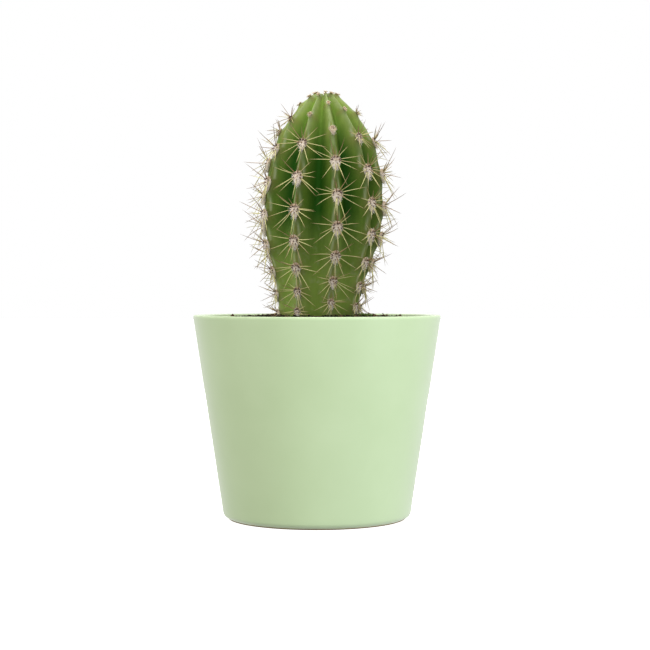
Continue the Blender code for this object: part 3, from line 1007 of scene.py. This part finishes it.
def make_fibres(finish):
    places = scatter_on_soil(FIBRE_COUNT, 3.0 * MM) + np.array((0, 0, 0.45 * MM))
    heading = rng.uniform(0, 2 * math.pi, FIBRE_COUNT)
    reach = rng.uniform(1.5, 5.0, FIBRE_COUNT) * MM
    step = np.stack((np.cos(heading), np.sin(heading), 0 * heading), axis=1) * reach[:, None]
    bend = rng.normal(scale=0.18, size=(FIBRE_COUNT, 3)) * reach[:, None] * (1, 1, 0.25)
    shares = np.linspace(-0.5, 0.5, 6)[None, :, None]
    paths = places[:, None] + step[:, None] * shares + bend[:, None] * (1 - 4 * shares**2)
    radii = np.tile(FIBRE_RADII, (FIBRE_COUNT, 1))
    points, faces, _, _ = strands(paths, radii, 4)
    return add_piece("soil_fibres", points, faces, (finish,))


def make_moss(finish):
    """A small tuft of moss by the stem's foot."""
    spread = rng.normal(scale=MOSS_SPREAD, size=(MOSS_COUNT, 2))
    roots = np.empty((MOSS_COUNT, 3))
    roots[:, :2] = np.array(MOSS_PLACE) + spread
    roots[:, 2] = soil_height(np.linalg.norm(roots[:, :2], axis=1)) + 0.2 * MM
    away = np.concatenate((spread / MM * 0.35, np.ones((MOSS_COUNT, 1))), axis=1)
    direction = unit(away + rng.normal(scale=0.3, size=(MOSS_COUNT, 3)))
    reach = rng.uniform(0.6, 1.3, MOSS_COUNT) * MM
    shares = np.linspace(0, 1, 4)[None, :, None]
    paths = roots[:, None] + direction[:, None] * reach[:, None, None] * shares
    paths[:, :, 2] += 0.15 * MM * np.sin(shares[:, :, 0] * math.pi)
    radii = np.tile(MOSS_RADII, (MOSS_COUNT, 1))
    points, faces, _, _ = strands(paths, radii, 4)
    return add_piece("moss_tuft", points, faces, (finish,))


# Studio


def make_camera():
    """The photograph's camera: in front, moved aside by as much as the pot stands off centre."""
    camera = bpy.data.cameras.new("camera")
    camera.sensor_width = SENSOR
    camera.lens = SENSOR * FOCAL_PIXELS / PHOTO_SIZE
    camera.clip_start = 0.01
    stand = bpy.data.objects.new("camera", camera)
    per_pixel = CAMERA_DISTANCE / FOCAL_PIXELS
    aside = (PHOTO_SIZE / 2 - POT_AXIS_COLUMN) * per_pixel
    stand.location = (aside, -CAMERA_DISTANCE, CAMERA_HEIGHT)
    pitch = math.atan((PHOTO_SIZE / 2 - HORIZON_ROW) / FOCAL_PIXELS)
    stand.rotation_euler = (math.pi / 2 - pitch, 0.0, 0.0)
    bpy.context.scene.collection.objects.link(stand)
    bpy.context.scene.camera = stand


def add_light(name, place, watts, lit=None, colour=WHITE):
    """A square softbox that isn't mirrored, and lights only some pieces where they are given."""
    light = bpy.data.lights.new(name, "AREA")
    light.color = colour
    light.shape = "SQUARE"
    light.size = LIGHT_SIZE
    light.energy = watts
    stand = bpy.data.objects.new(name, light)
    stand.visible_glossy = False
    stand.location = place
    aim = Vector(LIGHTS_AIM) - Vector(place)
    stand.rotation_euler = aim.to_track_quat("-Z", "Y").to_euler()
    bpy.context.scene.collection.objects.link(stand)
    if lit:
        receivers = bpy.data.collections.new(name + "_lights")
        for piece in lit:
            receivers.objects.link(piece)
        stand.light_linking.receiver_collection = receivers


def make_world():
    """A white background that is mirrored as bright as it shows, but lights things less."""
    world = bpy.data.worlds.new("white_studio")
    world.use_nodes = True
    tree = world.node_tree
    shown = add_node(tree, "ShaderNodeBackground", {"Color": rgba(WHITE), "Strength": 1.0})
    lighting = add_node(tree, "ShaderNodeBackground", {"Color": rgba(WHITE), "Strength": AMBIENT})
    diffuse = add_node(tree, "ShaderNodeLightPath").outputs["Is Diffuse Ray"]
    chosen = add_node(tree, "ShaderNodeMixShader", {"Fac": diffuse})
    tree.links.new(shown.outputs["Background"], chosen.inputs[1])
    tree.links.new(lighting.outputs["Background"], chosen.inputs[2])
    tree.links.new(chosen.outputs["Shader"], tree.nodes["World Output"].inputs["Surface"])
    bpy.context.scene.world = world


def make_floor():
    """White paper that shows no shadow, as in the photograph."""
    mesh = bpy.data.meshes.new("floor")
    signs = ((-1, -1), (1, -1), (1, 1), (-1, 1))
    corners = [(x * FLOOR_REACH, y * FLOOR_REACH, 0) for x, y in signs]
    mesh.from_pydata(corners, [], [[0, 1, 2, 3]])
    paper, _, _ = new_material(
        "white_paper",
        Base_Color=(0.8, 0.8, 0.8, 1.0),
        Roughness=0.9,
        Emission_Color=rgba(WHITE),
        Emission_Strength=1.0,
    )
    mesh.materials.append(paper)
    floor = bpy.data.objects.new("floor", mesh)
    floor.visible_diffuse = False
    floor.visible_glossy = False
    bpy.context.scene.collection.objects.link(floor)


def make_studio(pot_pieces, plant_pieces):
    """Soft light from above and behind on everything, and more on some pieces.

    The pot has more from its right than its left, and the plant has it from three sides."""
    bpy.context.scene.view_settings.view_transform = "Standard"
    make_world()
    make_floor()
    ceramic = pot_pieces[:1]
    add_light("top", (0.0, -0.10, 0.75), 4.5)
    add_light("back", (0.10, 0.66, 0.22), 4.5)
    add_light("lip", (0.0, -0.35, 0.65), 2.2, ceramic)
    add_light("pot_right", (0.58, -0.45, 0.08), 8.6, pot_pieces, (0.96, 1.0, 1.14))
    add_light("pot_left", (-0.66, -0.30, 0.06), 5.0, pot_pieces)
    add_light("plant_left", (-0.66, 0.04, 0.28), 3.6, plant_pieces)
    add_light("plant_right", (0.64, 0.12, 0.30), 2.8, plant_pieces)
    add_light("plant_front", (-0.10, -0.64, 0.28), 2.2, plant_pieces)


crest = Crest()
areoles = find_areoles(crest)
# The soil's colours are partly its own dark brown and partly painted shade: darker still, for the
# shade below the pot's lip.
earth = soil_material("potting_soil_dark_and_painted_shade", (0.006, 0.005, 0.003), (0.024, 0.017, 0.010))
bark = plain_material("bark", (0.030, 0.016, 0.008), (0.120, 0.066, 0.032), 900, 0.85)
fibre = plain_material("fibre", (0.060, 0.036, 0.018), (0.200, 0.130, 0.070), 700, 0.8)
moss = plain_material("moss", (0.060, 0.110, 0.020), (0.180, 0.250, 0.060), 1200, 0.8)
felt = wool_material("areole_felt", (0.81, 0.72, 0.61), (0.47, 0.34, 0.24), (0.40, 0.27, 0.14))
wool = wool_material("areole_wool", (0.91, 0.84, 0.73), (0.75, 0.62, 0.48), (0.72, 0.58, 0.38))
straw = spine_material("spine_straw", (0.07, 0.03, 0.02), (0.64, 0.60, 0.27), (0.20, 0.10, 0.05))
brown = spine_material("spine_brown", (0.05, 0.02, 0.015), (0.40, 0.26, 0.13), (0.11, 0.05, 0.03))

pot_pieces = [
    make_pot(),
    make_soil(crest, earth),
    make_clods(earth),
    make_chips(bark),
    make_fibres(fibre),
    make_moss(moss),
]
plant_pieces = [
    make_stem(crest, areoles),
    make_felt(areoles, felt),
    make_wool(areoles, wool),
    make_spines("spines_radial", areoles, RADIAL_SPINES, RADIAL_ROOT, straw),
    make_spines("spines_central", areoles, CENTRAL_SPINES, CENTRAL_ROOT, brown),
]
make_camera()
make_studio(pot_pieces, plant_pieces)
